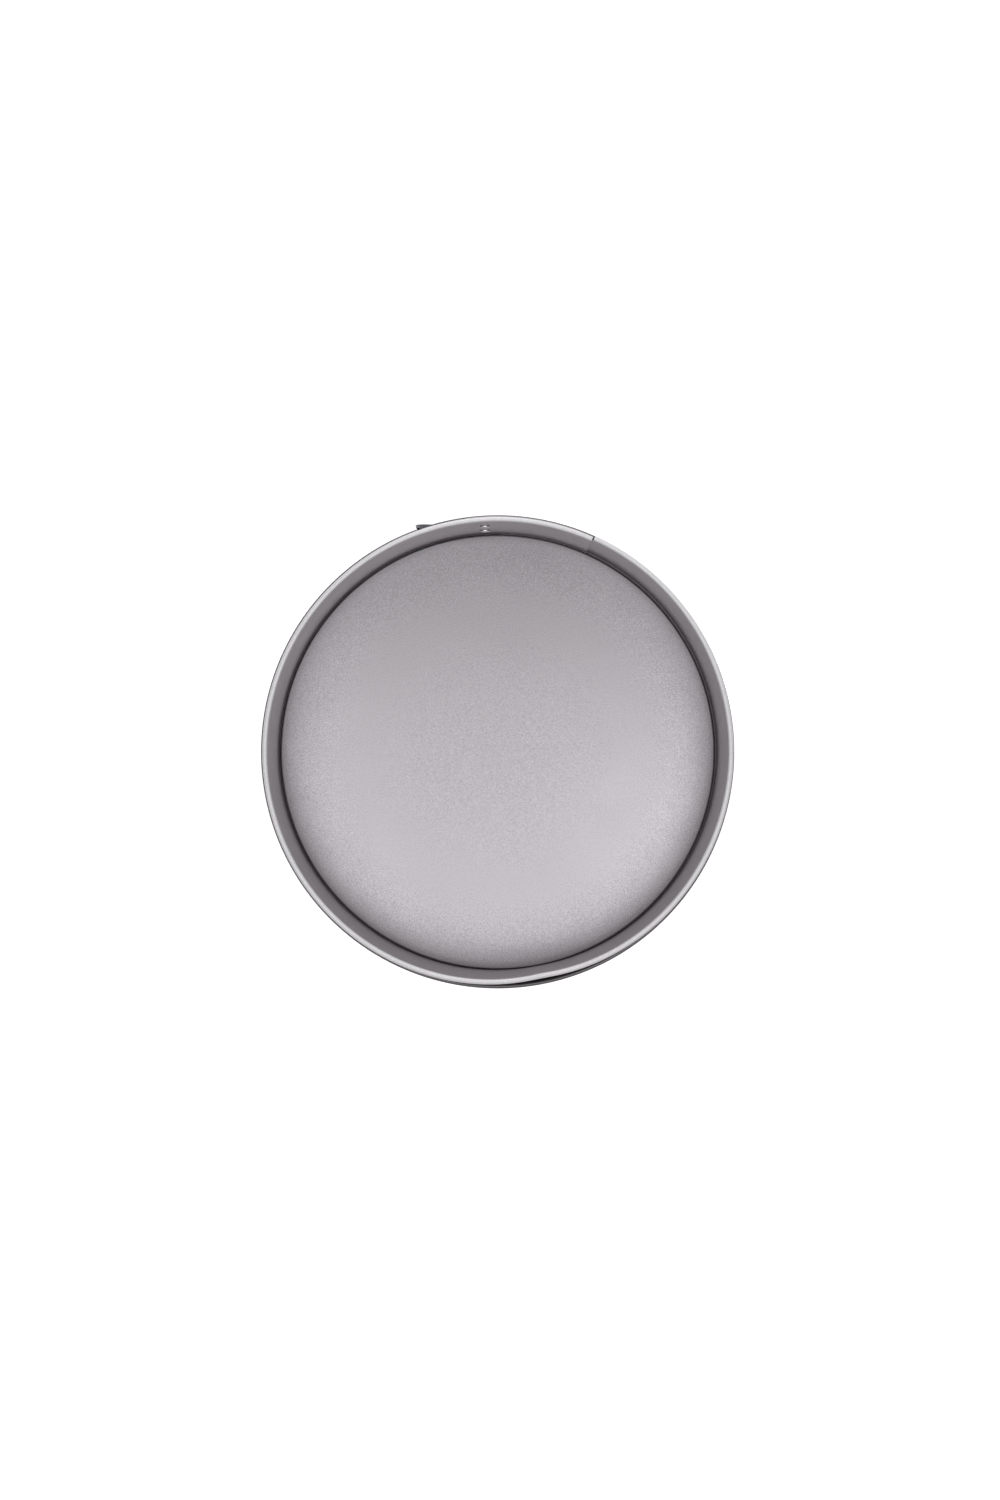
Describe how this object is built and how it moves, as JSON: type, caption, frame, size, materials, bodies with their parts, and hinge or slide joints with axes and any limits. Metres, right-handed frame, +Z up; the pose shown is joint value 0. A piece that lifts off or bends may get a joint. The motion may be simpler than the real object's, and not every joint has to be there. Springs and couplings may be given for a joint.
{
  "type": "springform pan",
  "caption": "Round baking pan with a loose base plate in a spring ring that opens with an over-centre lever clasp.",
  "frame": {"origin": "centre of the underside of the base plate, on the surface that the pan stands on", "axes": "+Z up along the axis of the ring; -Y towards the clasp; the lever points towards +X"},
  "size_m": [0.27, 0.27, 0.068],
  "materials": {
    "base_coating": "satin non-stick coating with fine metallic speckle",
    "ring_coating": "satin non-stick coating with fine metallic speckle",
    "lever_coating": "dark satin coating, worn to steel along the edges",
    "clasp_steel": "zinc-plated pressed steel",
    "rivet_steel": "bright plated steel"
  },
  "bodies": {
    "base": {"base_plate": "base_coating"},
    "ring": {"ring_back": "ring_coating"},
    "ring_lever_half": {"ring_lever_side": "ring_coating", "lever_bracket": "clasp_steel", "lever_bracket_rivet_upper": "rivet_steel", "lever_bracket_rivet_lower": "rivet_steel", "lever_pivot_rivet_upper": "rivet_steel", "lever_pivot_rivet_lower": "rivet_steel"},
    "ring_catch_half": {"ring_catch_side": "ring_coating", "catch_plate": "clasp_steel", "catch_rivet_upper": "rivet_steel", "catch_rivet_lower": "rivet_steel"},
    "lever": {"lever": "lever_coating", "link_pin": "rivet_steel"},
    "link": {"link": "clasp_steel"}
  },
  "joints": [
    {"name": "ring_lift", "type": "slide", "parent": "base", "child": "ring", "axis": [0, 0, 1], "range_m": [0, 0.09]},
    {"name": "lever_side_flex", "type": "hinge", "parent": "ring", "child": "ring_lever_half", "pos_m": [0.06047, 0.11372, 0.034], "axis": [0, 0, 1], "range_deg": [0, 1.9]},
    {"name": "catch_side_flex", "type": "hinge", "parent": "ring", "child": "ring_catch_half", "pos_m": [-0.06047, 0.11372, 0.034], "axis": [0, 0, -1], "range_deg": [0, 1.9]},
    {"name": "lever_swing", "type": "hinge", "parent": "ring_lever_half", "child": "lever", "pos_m": [-0.01031, -0.12819, 0.033], "axis": [0, 0, -1], "range_deg": [0, 150]},
    {"name": "link_swing", "type": "hinge", "parent": "lever", "child": "link", "pos_m": [-0.00083, -0.1286, 0.033], "axis": [0, 0, -1], "range_deg": [-139.8, 0]}
  ],
  "couplings": [
    {"joint": "lever_side_flex", "follows": "lever_swing", "ratio": 0.012666},
    {"joint": "catch_side_flex", "follows": "lever_swing", "ratio": 0.012666},
    {"joint": "link_swing", "follows": "lever_swing", "ratio": -0.932}
  ]
}
